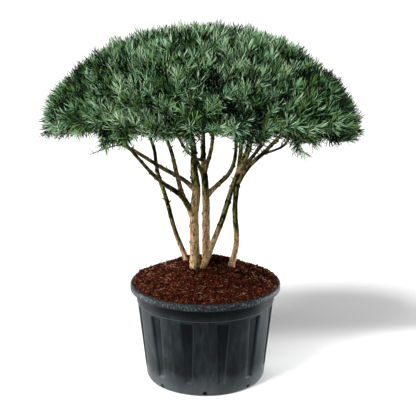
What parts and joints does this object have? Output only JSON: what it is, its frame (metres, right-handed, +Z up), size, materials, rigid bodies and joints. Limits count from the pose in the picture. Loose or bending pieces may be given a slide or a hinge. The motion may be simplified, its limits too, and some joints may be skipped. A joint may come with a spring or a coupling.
{
  "type": "potted multi-stem scots pine tree",
  "caption": "Evergreen pine on several slender stems with a clipped umbrella crown of blue-green needles, standing in a round black nursery container of bark compost.",
  "frame": {"origin": "centre of the container's flat underside, on the surface that it stands on", "axes": "+Z up along the height, -Y towards the front as pictured, +X to the right as seen from the front"},
  "size_m": [2.0321, 1.7628, 2.3731],
  "materials": {
    "black_plastic": "moulded black polyethylene with a soft blue-grey sheen, dusty towards the foot",
    "bark_compost": "moist chopped pine bark and peat, dark red-brown with pale fibres",
    "bark_lower": "orange-tan young pine bark with fine flakes, knots and ring scars",
    "bark_upper": "olive-green to brown rough bark with algae and dark flakes",
    "needles": "blue-green needles with silvery bloom, in dense tufts"
  },
  "bodies": {
    "root": {"pot": "black_plastic", "soil": "bark_compost", "stem_front": "bark_lower", "stem_back": "bark_lower", "stem_leaning": "bark_lower", "stem_left": "bark_lower", "stem_right": "bark_lower", "bough_left_front": "bark_upper", "bough_left_rear": "bark_upper", "bough_left_low": "bark_upper", "bough_front": "bark_upper", "bough_centre": "bark_upper", "bough_right_rear": "bark_upper", "bough_rear": "bark_upper", "bough_front_right": "bark_upper", "bough_right_upper": "bark_upper", "bough_right": "bark_upper", "bough_right_low": "bark_upper", "foliage_top": "needles", "foliage_inner_1": "needles", "foliage_inner_2": "needles", "foliage_inner_3": "needles", "foliage_inner_4": "needles", "foliage_inner_5": "needles", "foliage_outer_1": "needles", "foliage_outer_2": "needles", "foliage_outer_3": "needles", "foliage_outer_4": "needles", "foliage_outer_5": "needles", "foliage_outer_6": "needles", "foliage_outer_7": "needles", "foliage_outer_8": "needles", "foliage_outer_9": "needles", "foliage_outer_10": "needles"}
  },
  "joints": []
}
